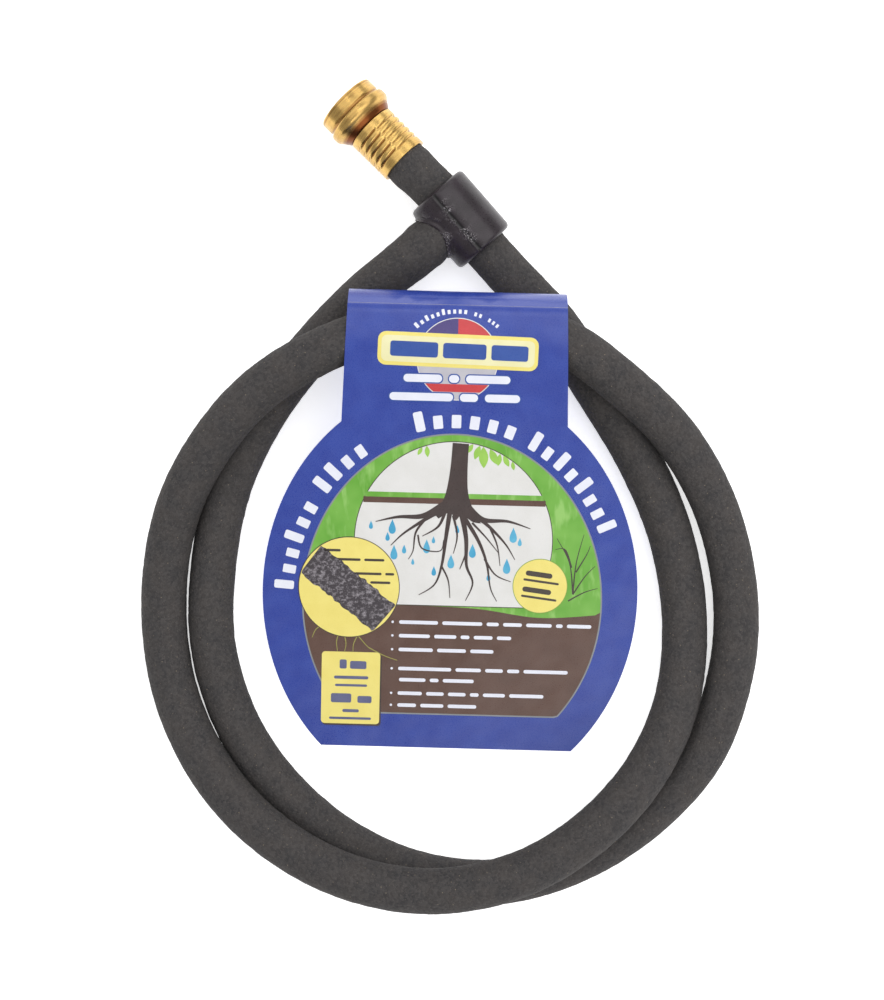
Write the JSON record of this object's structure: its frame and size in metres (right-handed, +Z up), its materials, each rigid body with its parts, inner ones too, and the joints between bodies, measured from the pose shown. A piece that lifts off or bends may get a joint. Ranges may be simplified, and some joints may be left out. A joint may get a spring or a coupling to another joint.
{
  "type": "soaker hose ring",
  "caption": "Porous rubber soaker hose coiled in two loose turns and closed into a ring by a moulded tee, with a brass swivel inlet coupling and a folded hang card.",
  "frame": {"origin": "middle of the whole outline, on the floor that the ring lies on", "axes": "+Y runs from the ring towards the inlet coupling, +Z is up through the flat coil, and +X is to the right of the coil seen from above"},
  "size_m": [0.2788, 0.3724, 0.0447],
  "materials": {
    "hose_rubber": "matte, finely grained porous recycled rubber",
    "tee_plastic": "glossy, as moulded",
    "core_plastic": "as moulded",
    "nut_brass": "satin, turned",
    "tail_brass": "turned",
    "ferrule_brass": "satin, crimped",
    "washer_rubber": "smooth",
    "restrictor_plastic": "as moulded",
    "card_board": "plain coated board",
    "card_print": "gloss-printed board"
  },
  "bodies": {
    "ring": {"ring_hose": "hose_rubber", "inlet_hose": "hose_rubber", "tee_cover": "tee_plastic", "tee_core": "core_plastic", "tail_piece": "tail_brass", "ferrule": "ferrule_brass", "card_back_panel": "card_board"},
    "nut": {"swivel_nut": "nut_brass", "hose_washer": "washer_rubber", "flow_restrictor": "restrictor_plastic"},
    "card_front": {"card_front_panel": "card_print"}
  },
  "joints": [
    {"name": "nut_spin", "type": "hinge", "parent": "ring", "child": "nut", "pos_m": [-0.04166, 0.17166, 0.01545], "axis": [-0.7054, 0.7054, -0.0698], "continuous": true},
    {"name": "card_open", "type": "hinge", "parent": "ring", "child": "card_front", "pos_m": [0.00311, 0.08384, 0.04382], "axis": [-0.9997, 0.0262, 0], "range_deg": [0, 120]}
  ]
}
